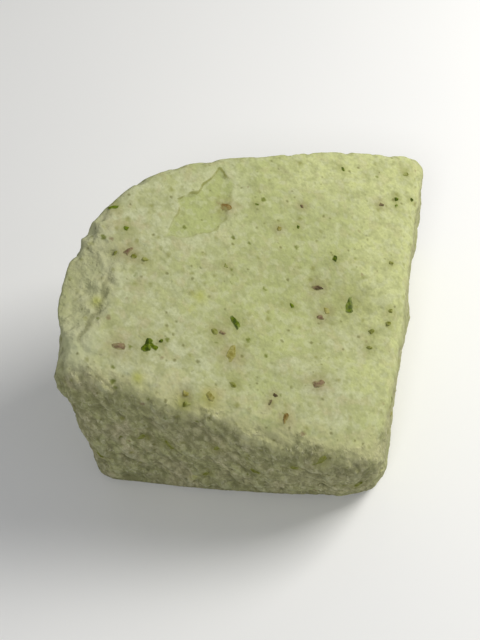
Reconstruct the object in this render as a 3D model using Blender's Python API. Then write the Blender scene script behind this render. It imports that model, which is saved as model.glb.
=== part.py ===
"""A chunk of freeze-dried pistachio ice cream.

One wedge of dry, chalky ice cream, cut and broken from a slab: a flat base, a ring of near-upright
walls that turns in a broad arc at the back left, and a top that falls to the front right. A scoop is
broken out of the left shoulder, its rim has crumbled in a few nicks, and a flake of skin has come off
the top and left a shallow bed. Bits of pistachio and of its skin stand a little proud of the surface,
fused to it.

The form is worked out in millimetres and scaled to metres in the mesh. +Z is up, the front faces -Y,
and the origin is the middle of the box round the chunk, at the height of its base.
"""

import math
import random
from collections import namedtuple

import bmesh
import bpy
import numpy as np
from mathutils import Matrix, Vector, noise

MM = 0.001
NAME = "ice_cream_chunk"

# Width, depth and greatest height of the chunk
WIDTH = 38.7
DEPTH = 37.4
HEIGHT = 24.2

# The middle of the box round the chunk, as the sizes below place it, and the depth cut off its base
MIDDLE = (0.02, 0.64)
BASE_CUT = 0.02

# The top: its height over the middle of the base, and how it falls to the right and rises to the back
TOP_HEIGHT = 18.9
TOP_FALL_RIGHT = 0.325
TOP_RISE_BACK = 0.18
TOP_EDGE = 1.6
FRONT_EDGE = 3.8
BASE_EDGE = 0.9

# The walls, round from the front. Each has the compass direction it faces (0 is +X), the angle it leans
# out as it rises, its distance from the middle at the base, and the width of the rounded edge before it
Wall = namedtuple("Wall", "faces leans reach edge")
WALLS = (
    Wall(-101.0, 2.0, 16.5, 0.0),
    Wall(-91.0, 15.8, 15.3, 2.5),
    Wall(-10.6, -2.0, 15.9, 4.0),
    Wall(103.4, 1.0, 14.5, 2.6),
    Wall(113.9, 2.5, 12.9, 2.0),
    Wall(136.7, 2.0, 13.8, 2.5),
    Wall(160.6, 5.5, 16.0, 4.5),
    Wall(177.7, 5.0, 17.2, 3.0),
)

# The scoop out of the left shoulder: a ball that has broken away, by its middle, radius and edge
SCOOP_CENTRE = (-16.7, -8.5, 52.45)
SCOOP_RADIUS = 30.0
SCOOP_EDGE = 0.4

# Nicks crumbled out of the rims, each a small ball by its middle and radius
NICKS = (
    (-15.6, 3.0, 24.9, 0.9),
    (-16.9, 1.3, 24.4, 0.9),
    (-18.3, -0.6, 23.7, 0.9),
    (-9.4, 11.0, 24.4, 0.9),
    (16.6, -2.2, 13.2, 1.0),
    (14.3, -15.4, 2.4, 1.7),
)
NICK_EDGE = 0.9

# The bed of the lost flake: its outline seen from above, its depth at the upper left rim, the share of the
# depth it loses on its way to the lower right, and the width of its rim
FLAKE_OUTLINE = (
    (-9.6, 1.7),
    (-8.3, 4.5),
    (-8.2, 6.7),
    (-6.4, 7.8),
    (-5.1, 9.9),
    (-3.7, 11.4),
    (-2.3, 10.4),
    (-2.9, 5.8),
    (-3.7, 4.0),
    (-6.1, 2.7),
)
FLAKE_DEPTH = 0.6
FLAKE_FADE = 0.6
FLAKE_FADE_START = (-8.0, 7.0)
FLAKE_FADE_LENGTH = 9.0
FLAKE_RIM = 0.7

# The shallow hollow in the right half of the top: middle, radii along X and Y, and depth
HOLLOW_CENTRE = (6.5, -3.0)
HOLLOW_RADII = (7.5, 6.5)
HOLLOW_DEPTH = 0.85
HOLLOW_POWER = 1.2

# Relief: swells all over, and crumbs drawn out into streaks that fall steeply to the right, each with its
# size and how far it stands out or sinks. The crumbs are full on the front wall, fainter in the scoop and on
# the cut walls, faintest on the top, and die away at the base
SWELL_SIZE = 10.0
SWELL_HEIGHT = 0.5
CRUMB_SIZE = 2.8
CRUMB_HEIGHT = 0.5
STREAK_STRETCH = 2.4
STREAK_SLANT = math.radians(58)
WALL_SHARE = 0.5
SCOOP_SHARE = 0.4
TOP_SHARE = 0.2
BASE_CALM = 2.5

# The mesh's grid starts on a block with the chunk's own corners. They go front left, front right, back left
# and back right, first at the base, and the block's back and left sides bulge as the walls there do
GRID = 1.15
CORNERS = (
    (-17.0, -14.5, 0.0),
    (13.5, -15.0, 0.0),
    (-12.0, 8.5, 0.0),
    (18.5, 17.5, 0.0),
    (-18.5, -14.5, 21.5),
    (13.0, -17.5, 11.5),
    (-13.2, 8.0, 24.5),
    (18.5, 18.0, 15.8),
)
BACK_BULGE = 2.6
LEFT_BULGE = 1.6

# The point inside the chunk that the block's vertices are drawn out from
HEART = np.array((-0.5, -1.0, 9.0))
HALVINGS = 26
SLOPE_STEP = 0.01

# Bits that show on the top and on the front wall: place, length, width, and the turn of the long side
Bit = namedtuple("Bit", "place length width turn")
TOP_BITS = (
    Bit((-10.2, -10.0), 1.9, 1.4, 35),
    Bit((-2.2, -5.9), 2.0, 0.9, -55),
    Bit((9.8, -1.3), 2.3, 0.9, 80),
    Bit((-2.6, -9.5), 2.2, 0.8, 75),
    Bit((6.3, -0.1), 1.3, 0.7, -12),
    Bit((-3.3, 6.9), 1.4, 0.8, -15),
    Bit((-13.2, -10.7), 1.6, 1.0, 5),
    Bit((-12.7, -0.5), 1.2, 0.9, 60),
    Bit((3.8, -2.6), 0.9, 0.8, 0),
    Bit((8.2, 3.5), 1.0, 0.7, 90),
    Bit((6.0, -11.0), 1.2, 0.8, 20),
    Bit((2.7, -15.2), 1.3, 0.8, 85),
    Bit((-3.6, -7.3), 1.2, 0.8, 10),
    Bit((16.6, 16.0), 1.1, 0.8, 30),
    Bit((-7.2, -14.6), 1.1, 0.9, 0),
)
FRONT_BITS = (
    Bit((5.8, 11.6), 1.3, 0.8, 30),
    Bit((-4.2, 11.3), 1.2, 0.8, 70),
    Bit((-11.8, 11.7), 1.1, 0.8, 10),
)

# The scatter of bits over the walls: each is a golden turn round from the last, at a height from the lowest
# up through the band, with a length and a width between two values
WALL_BITS = 20
GOLDEN = 0.618034
WALL_BIT_START = 0.3
WALL_BIT_LOWEST = 2.6
WALL_BIT_BAND = 8.5
WALL_BIT_REACH = 17.0
WALL_BIT_LENGTH = (0.9, 1.7)
WALL_BIT_WIDTH = (0.7, 1.1)
BIT_SEED = 41
BIT_PROUD = 0.22
BIT_THICK = 0.9
BIT_JITTER = 0.16

COLOUR = (0.57, 0.60, 0.33, 1.0)
ROUGHNESS = 0.92
SHARP_ANGLE = 50


def smooth_max(a, b, width):
    """The greater of a and b, with the crease between them rounded over a width."""
    overlap = np.maximum(width - np.abs(a - b), 0.0) / np.maximum(width, 1e-6)
    return np.maximum(a, b) + overlap * overlap * width / 4


def smooth_step(value, low, high):
    t = np.clip((value - low) / (high - low), 0.0, 1.0)
    return t * t * (3 - 2 * t)


def wall_value(points, wall):
    """How far the points are outside a wall's plane."""
    faces = math.radians(wall.faces)
    leans = math.radians(wall.leans)
    normal = np.array((math.cos(faces), math.sin(faces), -math.tan(leans))) * math.cos(leans)
    return points @ normal - wall.reach * math.cos(leans)


def top_height(x, y):
    """Height of the sloping top, with its hollow, over a place on the base."""
    across = (x - HOLLOW_CENTRE[0]) / HOLLOW_RADII[0]
    along = (y - HOLLOW_CENTRE[1]) / HOLLOW_RADII[1]
    dip = HOLLOW_DEPTH * np.clip(1 - across**2 - along**2, 0.0, 1.0) ** HOLLOW_POWER
    return TOP_HEIGHT - TOP_FALL_RIGHT * x + TOP_RISE_BACK * y - dip


def top_value(points):
    """How far the points are above the top."""
    x, y, z = points.T
    return (z - top_height(x, y)) / math.sqrt(1 + TOP_FALL_RIGHT**2 + TOP_RISE_BACK**2)


def ball_value(points, centre, radius):
    """How far the points are inside a ball that broke away."""
    return radius - np.linalg.norm(points - np.array(centre), axis=1)


def scoop_value(points):
    return ball_value(points, SCOOP_CENTRE, SCOOP_RADIUS)


def front_value(points):
    return np.maximum(wall_value(points, WALLS[0]), wall_value(points, WALLS[1]))


def form_value(points):
    """Below zero inside the chunk and above zero outside it."""
    ring = wall_value(points, WALLS[0])
    for wall in WALLS[1:]:
        ring = smooth_max(ring, wall_value(points, wall), wall.edge)
    top = top_value(points)
    front = smooth_step(front_value(points), -9.0, -2.0)
    edge = TOP_EDGE + (FRONT_EDGE - TOP_EDGE) * front
    form = smooth_max(ring, top, edge)
    form = smooth_max(form, -points[:, 2], BASE_EDGE)
    form = smooth_max(form, scoop_value(points), SCOOP_EDGE)
    for *centre, radius in NICKS:
        form = smooth_max(form, ball_value(points, centre, radius), NICK_EDGE)
    return form


def form_normal(points):
    """The form's outward direction at each point."""
    steps = np.eye(3) * SLOPE_STEP
    slope = np.stack([form_value(points + step) - form_value(points - step) for step in steps], axis=1)
    return slope / np.linalg.norm(slope, axis=1)[:, None]


def draw_to_form(points):
    """Move each point along its ray from the heart onto the form, by halving."""
    rays = points - HEART
    rays /= np.linalg.norm(rays, axis=1)[:, None]
    near = np.zeros(len(rays))
    far = np.full(len(rays), WIDTH)
    for _ in range(HALVINGS):
        middle = (near + far) / 2
        inside = form_value(HEART + rays * middle[:, None]) < 0
        near = np.where(inside, middle, near)
        far = np.where(inside, far, middle)
    return HEART + rays * near[:, None]


def outline_distance(x, y, outline):
    """Distance to a closed outline in the plane, above zero inside it."""
    inside = np.zeros(len(x), dtype=bool)
    distance = np.full(len(x), np.inf)
    for (ax, ay), (bx, by) in zip(outline, outline[1:] + outline[:1]):
        dx = bx - ax
        dy = by - ay
        t = np.clip(((x - ax) * dx + (y - ay) * dy) / (dx * dx + dy * dy), 0.0, 1.0)
        distance = np.minimum(distance, np.hypot(x - ax - t * dx, y - ay - t * dy))
        crosses = ((ay > y) != (by > y)) & (x < ax + (y - ay) * dx / (dy if dy else 1e-9))
        inside ^= crosses
    return np.where(inside, distance, -distance)


def noise_at(points, size, octaves, offset):
    """Soft lumps of about the given size, between -1 and 1."""
    shift = Vector((offset, -offset, offset / 2))
    return np.array([noise.fractal(Vector(p) / size + shift, 1.0, 2.1, octaves) for p in points])


def streak_places(points):
    """The points squeezed along the slanting streaks, so that noise there is drawn out along them."""
    x, y, z = points.T
    along = x * math.cos(STREAK_SLANT) - z * math.sin(STREAK_SLANT)
    across = x * math.sin(STREAK_SLANT) + z * math.cos(STREAK_SLANT)
    return np.column_stack((along / STREAK_STRETCH, y, across))


def relief(points):
    """How far the surface stands out of the smooth form at each point."""
    x, y, z = points.T
    on_top = smooth_step(top_value(points), -1.6, -0.4)
    scooped = smooth_step(scoop_value(points), -0.5, -0.1)
    front = smooth_step(front_value(points), -3.0, -0.4) * (1 - on_top)
    share = WALL_SHARE + (TOP_SHARE - WALL_SHARE) * on_top
    share += (1 - share) * front
    share += (SCOOP_SHARE - share) * scooped
    lift = noise_at(streak_places(points), CRUMB_SIZE, 3, 7.3) * CRUMB_HEIGHT * share
    lift += noise_at(points, SWELL_SIZE, 2, 2.9) * SWELL_HEIGHT * (1 - on_top / 2)
    bed = smooth_step(outline_distance(x, y, FLAKE_OUTLINE), 0.0, FLAKE_RIM)
    along = (x - FLAKE_FADE_START[0] - y + FLAKE_FADE_START[1]) / math.sqrt(2) / FLAKE_FADE_LENGTH
    lift -= bed * on_top * FLAKE_DEPTH * (1 - FLAKE_FADE * np.clip(along, 0.0, 1.0))
    return lift * smooth_step(z, 0.0, BASE_CALM)


def surface_at(targets):
    """Where the rays from the heart to the targets leave the chunk, and its outward directions there."""
    points = draw_to_form(np.array(targets, dtype=float))
    normals = form_normal(points)
    return points + normals * relief(points)[:, None], normals


def grid_cube(mesh):
    """A cube of side 2 round the origin, with as many grid squares each way as the chunk takes."""
    bm = bmesh.new()
    bmesh.ops.create_cube(bm, size=2.0)
    for axis, length in enumerate((WIDTH, DEPTH, HEIGHT)):
        along = [e for e in bm.edges if abs(e.verts[0].co[axis] - e.verts[1].co[axis]) > 1]
        bmesh.ops.subdivide_edges(bm, edges=along, cuts=round(length / GRID) - 1, use_grid_fill=True)
    bm.to_mesh(mesh)
    bm.free()


def cube_to_block(points):
    """Stretch the cube between the chunk's corners, with the bulge of its back and left sides."""
    u, v, w = (points.T + 1) / 2
    block = np.zeros_like(points)
    for number, corner in enumerate(CORNERS):
        share = u if number & 1 else 1 - u
        share = share * (v if number & 2 else 1 - v)
        share = share * (w if number & 4 else 1 - w)
        block += share[:, None] * np.array(corner)
    block[:, 1] += BACK_BULGE * 4 * u * (1 - u) * v
    block[:, 0] -= LEFT_BULGE * 4 * v * (1 - v) * (1 - u)
    return block


def mesh_points(mesh):
    points = np.empty(len(mesh.vertices) * 3, dtype=np.float32)
    mesh.vertices.foreach_get("co", points)
    return points.reshape(-1, 3).astype(float)


def set_mesh_points(mesh, points):
    mesh.vertices.foreach_set("co", points.astype(np.float32).ravel())
    mesh.update()


def mesh_normals(mesh):
    normals = np.empty(len(mesh.vertices) * 3, dtype=np.float32)
    mesh.vertex_normals.foreach_get("vector", normals)
    return normals.reshape(-1, 3).astype(float)


def flatten_base(mesh):
    """Cut the mesh off level at the base and close it with a flat face."""
    bm = bmesh.new()
    bm.from_mesh(mesh)
    everything = bm.verts[:] + bm.edges[:] + bm.faces[:]
    level = Vector((0, 0, BASE_CUT))
    cut = bmesh.ops.bisect_plane(bm, geom=everything, plane_co=level, plane_no=(0, 0, 1), clear_inner=True)
    rim = [item for item in cut["geom_cut"] if isinstance(item, bmesh.types.BMEdge)]
    bmesh.ops.contextual_create(bm, geom=rim)
    bmesh.ops.translate(bm, verts=bm.verts, vec=-level)
    bmesh.ops.recalc_face_normals(bm, faces=bm.faces)
    bm.to_mesh(mesh)
    bm.free()


def make_chunk(collection):
    mesh = bpy.data.meshes.new(NAME)
    grid_cube(mesh)
    set_mesh_points(mesh, draw_to_form(cube_to_block(mesh_points(mesh))))
    points = mesh_points(mesh)
    set_mesh_points(mesh, points + mesh_normals(mesh) * relief(points)[:, None])
    flatten_base(mesh)
    chunk = bpy.data.objects.new(NAME, mesh)
    collection.objects.link(chunk)
    return chunk


def all_bits():
    """Each bit's target for a ray from the heart, with its length, width and turn."""
    rng = random.Random(BIT_SEED)
    bits = []
    for bit in TOP_BITS:
        x, y = bit.place
        bits.append(((x, y, top_height(x, y)), bit.length, bit.width, math.radians(bit.turn)))
    for bit in FRONT_BITS:
        x, z = bit.place
        bits.append(((x, -WALL_BIT_REACH, z), bit.length, bit.width, math.radians(bit.turn)))
    for number in range(WALL_BITS):
        faces = math.tau * GOLDEN * number + WALL_BIT_START
        height = WALL_BIT_LOWEST + WALL_BIT_BAND * (number * GOLDEN * math.pi % 1)
        target = HEART + WALL_BIT_REACH * np.array((math.cos(faces), math.sin(faces), 0))
        target[2] = height
        length = rng.uniform(*WALL_BIT_LENGTH)
        width = rng.uniform(*WALL_BIT_WIDTH)
        bits.append((tuple(target), length, width, rng.uniform(0, math.pi)))
    return bits


def lying_frame(place, normal, turn):
    """Axes for a bit that lies in the surface: its long side, its short side and outward."""
    outward = Vector(normal)
    aside = Vector((0, 0, 1)) if abs(outward.z) < 0.5 else Vector((0, 1, 0))
    across = aside.cross(outward).normalized()
    frame = Matrix((across, outward.cross(across), outward)).transposed().to_4x4()
    return Matrix.Translation(place) @ frame @ Matrix.Rotation(turn, 4, "Z")


def add_bits(collection):
    """Many-sided bits lying in the surface, most of each sunk."""
    rng = random.Random(BIT_SEED)
    bits = all_bits()
    places, normals = surface_at([bit[0] for bit in bits])
    for (_, length, width, turn), place, normal in zip(bits, places, normals):
        bm = bmesh.new()
        bmesh.ops.create_icosphere(bm, subdivisions=1, radius=0.5)
        for vert in bm.verts:
            vert.co *= 1 + rng.uniform(-BIT_JITTER, BIT_JITTER)
        sunk = Matrix.Translation((0, 0, BIT_PROUD - BIT_THICK / 2))
        size = Matrix.Diagonal((length, width, BIT_THICK, 1.0))
        bm.transform(lying_frame(place, normal, turn) @ sunk @ size)
        mesh = bpy.data.meshes.new("bit")
        bm.to_mesh(mesh)
        bm.free()
        collection.objects.link(bpy.data.objects.new("bit", mesh))


def fuse(chunk, collection):
    """Join a collection's pieces to the chunk as one closed body, then drop the loose pieces."""
    union = chunk.modifiers.new("fuse bits", "BOOLEAN")
    union.operation = "UNION"
    union.operand_type = "COLLECTION"
    union.collection = collection
    union.solver = "EXACT"
    fused = bpy.data.meshes.new_from_object(chunk.evaluated_get(bpy.context.evaluated_depsgraph_get()))
    chunk.modifiers.clear()
    chunk.data = fused
    for piece in collection.objects[:]:
        bpy.data.objects.remove(piece)


def dry_ice_cream():
    material = bpy.data.materials.new("dry_ice_cream")
    material.use_nodes = True
    shader = material.node_tree.nodes["Principled BSDF"]
    shader.inputs["Base Color"].default_value = COLOUR
    shader.inputs["Roughness"].default_value = ROUGHNESS
    shader.inputs["Metallic"].default_value = 0.0
    material.diffuse_color = COLOUR
    return material


def main():
    for item in list(bpy.data.objects):
        bpy.data.objects.remove(item)
    collection = bpy.data.collections.new("freeze_dried_ice_cream")
    bits = bpy.data.collections.new("bits")
    bpy.context.scene.collection.children.link(collection)
    bpy.context.scene.collection.children.link(bits)
    chunk = make_chunk(collection)
    add_bits(bits)
    bpy.context.view_layer.update()
    fuse(chunk, bits)
    chunk.data.materials.clear()
    chunk.data.materials.append(dry_ice_cream())
    chunk.data.transform(Matrix.Scale(MM, 4) @ Matrix.Translation((-MIDDLE[0], -MIDDLE[1], 0)))
    chunk.data.shade_smooth()
    chunk.data.set_sharp_from_angle(angle=math.radians(SHARP_ANGLE))


main()
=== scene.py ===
# %% [markdown]
# # A chunk of freeze-dried pistachio ice cream
# This lesson dresses a solid of a chunk of ice cream that was frozen, dried in a vacuum, and broken off a
# slab. What is left is a dry foam, as light and chalky as meringue, with bits of nut in it. The solid has
# the chunk's form. What the lesson adds is what one sees up close: crumbly broken faces, a thin lost
# flake, pores, a chalky skin, and the nut bits in their own colours.

# %% Load the frame
import math
import random
from collections import namedtuple

import bmesh
import bpy
import numpy as np
from mathutils import Matrix, Vector, noise
from mathutils.bvhtree import BVHTree


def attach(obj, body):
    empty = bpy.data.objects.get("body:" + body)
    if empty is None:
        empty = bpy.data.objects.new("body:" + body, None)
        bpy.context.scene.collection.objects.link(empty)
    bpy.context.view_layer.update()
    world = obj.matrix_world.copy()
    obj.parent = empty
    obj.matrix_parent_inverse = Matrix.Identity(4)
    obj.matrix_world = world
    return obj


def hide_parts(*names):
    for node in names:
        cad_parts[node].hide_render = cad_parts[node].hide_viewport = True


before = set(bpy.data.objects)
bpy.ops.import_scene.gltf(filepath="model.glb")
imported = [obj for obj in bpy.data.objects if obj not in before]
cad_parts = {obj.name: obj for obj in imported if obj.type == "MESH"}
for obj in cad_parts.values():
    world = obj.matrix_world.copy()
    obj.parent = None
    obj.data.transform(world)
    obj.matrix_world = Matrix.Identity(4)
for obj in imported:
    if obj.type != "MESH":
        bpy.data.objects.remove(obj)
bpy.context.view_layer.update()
SOLID = "ice_cream_chunk"
MM = 0.001

# %% [markdown]
# ## Camera
# A phone held over the table about 13 cm away looks down at the chunk, a little more from above than from
# the front. So near, the perspective is strong: the far side is visibly smaller. That depends only on
# where the camera stands, so the camera keeps the distance, and a long lens then fills the picture.

# %% Camera
AIM = Vector((-1.77, 1.1, 8.3)) * MM
DISTANCE = 131.6 * MM
LOOK_DOWN = math.radians(54)
LENS = 90.0
CLIP_START = 0.01

eye = AIM + DISTANCE * Vector((0, -math.cos(LOOK_DOWN), math.sin(LOOK_DOWN)))
camera = bpy.data.objects.new("camera", bpy.data.cameras.new("camera"))
camera.data.sensor_fit = "HORIZONTAL"
camera.data.lens = LENS
camera.data.clip_start = CLIP_START
camera.location = eye
camera.rotation_euler = (AIM - eye).to_track_quat("-Z", "Y").to_euler()
bpy.context.scene.collection.objects.link(camera)
bpy.context.scene.camera = camera
print("camera at", [round(value, 4) for value in eye])

# %% [markdown]
# ## Shader maths as plain expressions
# A material is a graph of nodes, but most of it is arithmetic: a mask times a depth, one minus a mask. The
# class below wraps a socket, so that such sums can be written as sums, and each one adds its Math node.
# Vectors go through Vector Math and colours through Mix, since a Math node would turn a colour grey. Every
# other node comes from the one method `node`.

# %% The class for sockets
def pick(sockets, key):
    """A socket by its place in the list, its identifier or its name."""
    if isinstance(key, int):
        return sockets[key]
    return next(socket for socket in sockets if key in (socket.identifier, socket.name))


class Sock:
    """An output socket that can be added, multiplied and handed to other nodes."""

    def __init__(self, socket):
        self.socket = socket

    def node(self, kind, settings=None, inputs=None, out=0):
        """Add a node of the kind to this socket's tree and return one of its outputs."""
        tree = self.socket.id_data
        made = tree.nodes.new("ShaderNode" + kind)
        for name, value in (settings or {}).items():
            setattr(made, name, value)
        for name, value in (inputs or {}).items():
            socket = pick(made.inputs, name)
            if isinstance(value, Sock):
                tree.links.new(value.socket, socket)
            else:
                socket.default_value = value
        return Sock(pick(made.outputs, out))

    def maths(self, operation, first, second=0.0):
        if "VECTOR" in (getattr(getattr(term, "socket", None), "type", "") for term in (first, second)):
            return self.node("VectorMath", {"operation": operation}, {0: first, 1: second})
        return self.node("Math", {"operation": operation}, {0: first, 1: second})

    def __add__(self, other):
        return self.maths("ADD", self, other)

    __radd__ = __add__

    def __sub__(self, other):
        return self.maths("SUBTRACT", self, other)

    def __rsub__(self, other):
        return self.maths("SUBTRACT", other, self)

    def __mul__(self, other):
        return self.maths("MULTIPLY", self, other)

    __rmul__ = __mul__

    def __abs__(self):
        return self.maths("ABSOLUTE", self)

    def between(self, low, high):
        """0 at low, 1 at high, and a soft step from one to the other."""
        return self.node("MapRange", {"interpolation_type": "SMOOTHSTEP"}, {0: self, 1: low, 2: high})

    def tint(self, under, over):
        """A colour that goes from one to the other with this value."""
        colours = {"Factor_Float": self, "A_Color": under, "B_Color": over}
        return self.node("Mix", {"data_type": "RGBA"}, colours, "Result_Color")


print("sockets can be added, multiplied, stepped and mixed")

# %% A finish and its noise
def new_finish(name, roughness):
    """A material, its main shader, and the place on the object in millimetres."""
    material = bpy.data.materials.new(name)
    material.use_nodes = True
    shader = material.node_tree.nodes["Principled BSDF"]
    shader.inputs["Roughness"].default_value = roughness
    coordinates = material.node_tree.nodes.new("ShaderNodeTexCoord")
    place = Sock(coordinates.outputs["Object"])
    place = place.node("VectorMath", {"operation": "SCALE"}, {0: place, "Scale": 1 / MM})
    return material, shader, place


def feed(shader, name, value):
    """Link a value to one of the shader's sockets."""
    shader.id_data.links.new(value.socket, shader.inputs[name])


def cloud(place, size, detail=2.0, seed=0.0):
    """Soft noise from 0 to 1 with lumps of about the size in millimetres."""
    moved = place + (seed, seed * 0.7, -seed)
    return place.node("TexNoise", None, {"Vector": moved, "Scale": 1 / size, "Detail": detail})


print("shader maths ready")

# %% [markdown]
# ## Floor and light
# The chunk lies on a plain pale table under soft light. The light comes from the back right: it leaves the
# front wall and the scoop at the left in soft shade, which is what makes their crumb show. A second,
# fainter light and a pale surround keep the shade open.

# %% Floor and light
FLOOR_SIZE = 3.0
FLOOR_ROUGHNESS = 0.7
FLOOR_COLOUR = (0.86, 0.86, 0.85, 1.0)
FLOOR_SHADE = (0.82, 0.82, 0.82, 1.0)
Lamp = namedtuple("Lamp", "name place size watts colour")
LAMPS = (
    Lamp("window", (0.130, 0.060, 0.145), 0.10, 0.36, (1.0, 0.985, 0.94)),
    Lamp("fill", (-0.05, -0.22, 0.26), 0.09, 0.28, (0.98, 0.99, 1.0)),
)
SURROUND = 0.24
SURROUND_COLOUR = (0.97, 0.98, 1.0, 1.0)

bpy.ops.mesh.primitive_plane_add(size=FLOOR_SIZE)
floor = bpy.context.object
floor.name = "floor"
paper, paper_shader, paper_place = new_finish("pale_table", FLOOR_ROUGHNESS)
grain = cloud(paper_place, size=40.0, detail=3.0)
feed(paper_shader, "Base Color", grain.tint(FLOOR_COLOUR, FLOOR_SHADE))
floor.data.materials.append(paper)

for lamp in LAMPS:
    light = bpy.data.objects.new(lamp.name, bpy.data.lights.new(lamp.name, "AREA"))
    light.data.size = lamp.size
    light.data.energy = lamp.watts
    light.data.color = lamp.colour
    light.location = lamp.place
    light.rotation_euler = (AIM - light.location).to_track_quat("-Z", "Y").to_euler()
    bpy.context.scene.collection.objects.link(light)

world = bpy.data.worlds.new("studio")
world.use_nodes = True
background = world.node_tree.nodes["Background"]
background.inputs["Color"].default_value = SURROUND_COLOUR
background.inputs["Strength"].default_value = SURROUND
bpy.context.scene.world = world
bpy.context.scene.view_settings.view_transform = "Standard"
print("floor and", len(LAMPS), "lights")

# %% [markdown]
# ## The form in numbers
# The chunk could be sculpted by hand, but then it would be hard to keep it on the solid. Here the form is a
# function: each wall is a plane, the top is a tilted plane with a hollow, and what broke away are balls. The
# function gives one number per point, below zero inside the chunk. Joining two planes with a rounded
# maximum makes a rounded edge. The values are the solid's own, in millimetres, but the first three nicks
# are a little smaller here.

# %% Walls, top, scoop and nicks
MIDDLE = (0.02, 0.64)
BASE_CUT = 0.02
TOP_HEIGHT = 18.9
TOP_FALL_RIGHT = 0.325
TOP_RISE_BACK = 0.18
TOP_EDGE = 1.6
FRONT_EDGE = 3.8
FRONT_EDGE_FADE = (-9.0, -2.0)
BASE_EDGE = 0.9
HOLLOW_CENTRE = (6.5, -3.0)
HOLLOW_RADII = (7.5, 6.5)
HOLLOW_DEPTH = 0.85
HOLLOW_POWER = 1.2
Wall = namedtuple("Wall", "faces leans reach edge")
WALLS = (
    Wall(-101.0, 2.0, 16.5, 0.0),
    Wall(-91.0, 15.8, 15.3, 2.5),
    Wall(-10.6, -2.0, 15.9, 4.0),
    Wall(103.4, 1.0, 14.5, 2.6),
    Wall(113.9, 2.5, 12.9, 2.0),
    Wall(136.7, 2.0, 13.8, 2.5),
    Wall(160.6, 5.5, 16.0, 4.5),
    Wall(177.7, 5.0, 17.2, 3.0),
)
SCOOP_CENTRE = (-16.7, -8.5, 52.45)
SCOOP_RADIUS = 30.0
SCOOP_EDGE = 0.4
NICKS = (
    (-15.6, 3.0, 24.9, 0.75),
    (-16.9, 1.3, 24.4, 0.7),
    (-18.3, -0.6, 23.7, 0.75),
    (-9.4, 11.0, 24.4, 0.9),
    (16.6, -2.2, 13.2, 1.0),
    (14.3, -15.4, 2.4, 1.7),
)
NICK_EDGE = 0.9
print(len(WALLS), "walls and", len(NICKS), "nicks")

# %% Soft joins and soft steps
def smooth_max(a, b, width):
    """The greater of a and b, with the crease between them rounded over a width."""
    overlap = np.maximum(width - np.abs(a - b), 0.0) / np.maximum(width, 1e-6)
    return np.maximum(a, b) + overlap * overlap * width / 4


def smooth_step(value, low, high):
    t = np.clip((value - low) / (high - low), 0.0, 1.0)
    return t * t * (3 - 2 * t)


def span(least, most, share):
    """From the least to the most, as the share goes from 0 to 1."""
    return least + (most - least) * share


print("two values of 1 joined over a width of 2:", smooth_max(1.0, 1.0, 2.0))

# %% How far points are outside the form
def wall_value(points, wall):
    """How far the points are outside a wall's plane."""
    faces = math.radians(wall.faces)
    leans = math.radians(wall.leans)
    normal = np.array((math.cos(faces), math.sin(faces), -math.tan(leans))) * math.cos(leans)
    return points @ normal - wall.reach * math.cos(leans)


def top_height(x, y):
    across = (x - HOLLOW_CENTRE[0]) / HOLLOW_RADII[0]
    along = (y - HOLLOW_CENTRE[1]) / HOLLOW_RADII[1]
    dip = HOLLOW_DEPTH * np.clip(1 - across**2 - along**2, 0.0, 1.0) ** HOLLOW_POWER
    return TOP_HEIGHT - TOP_FALL_RIGHT * x + TOP_RISE_BACK * y - dip


def top_value(points):
    x, y, z = points.T
    return (z - top_height(x, y)) / math.sqrt(1 + TOP_FALL_RIGHT**2 + TOP_RISE_BACK**2)


def ball_value(points, centre, radius):
    return radius - np.linalg.norm(points - np.array(centre), axis=1)


def scoop_value(points):
    return ball_value(points, SCOOP_CENTRE, SCOOP_RADIUS)


def front_value(points):
    return np.maximum(wall_value(points, WALLS[0]), wall_value(points, WALLS[1]))


def ring_value(points):
    """How far the points are outside the ring of walls."""
    ring = wall_value(points, WALLS[0])
    for wall in WALLS[1:]:
        ring = smooth_max(ring, wall_value(points, wall), wall.edge)
    return ring


def form_value(points):
    """Below zero inside the chunk and above zero outside it."""
    front = smooth_step(front_value(points), *FRONT_EDGE_FADE)
    form = smooth_max(ring_value(points), top_value(points), span(TOP_EDGE, FRONT_EDGE, front))
    form = smooth_max(form, -points[:, 2], BASE_EDGE)
    form = smooth_max(form, scoop_value(points), SCOOP_EDGE)
    for *centre, radius in NICKS:
        form = smooth_max(form, ball_value(points, centre, radius), NICK_EDGE)
    return form


print("height of the top over the middle of the base:", round(float(top_height(0.0, 0.0)), 2), "mm")

# %% Points drawn onto the form
HEART = np.array((-0.5, -1.0, 9.0))
FARTHEST = 39.0
HALVINGS = 24
SLOPE_STEP = 0.01


def form_normal(points):
    """The form's outward direction: which way the function grows."""
    steps = np.eye(3) * SLOPE_STEP
    slope = np.stack([form_value(points + step) - form_value(points - step) for step in steps], axis=1)
    return slope / np.linalg.norm(slope, axis=1)[:, None]


def draw_to_form(points):
    """Move each point along its ray from the heart onto the form, by halving."""
    rays = points - HEART
    rays /= np.linalg.norm(rays, axis=1)[:, None]
    near = np.zeros(len(rays))
    far = np.full(len(rays), FARTHEST)
    for _ in range(HALVINGS):
        middle = (near + far) / 2
        inside = form_value(HEART + rays * middle[:, None]) < 0
        near = np.where(inside, middle, near)
        far = np.where(inside, far, middle)
    return HEART + rays * near[:, None]


print("the heart lies", round(float(-form_value(HEART[None])[0]), 2), "mm inside the form")

# %% [markdown]
# ## A fine skin of squares
# To carry crumbs and pores in its shape, the skin needs a point about every quarter of a millimetre. A
# sphere's grid would bunch up at its poles. A cube's grid stays even, and when it is first stretched
# between the chunk's own corners, its lines run along the chunk's edges. It is then drawn out from the
# heart onto the form, cut off level at the base, and closed there with one flat face.

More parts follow.
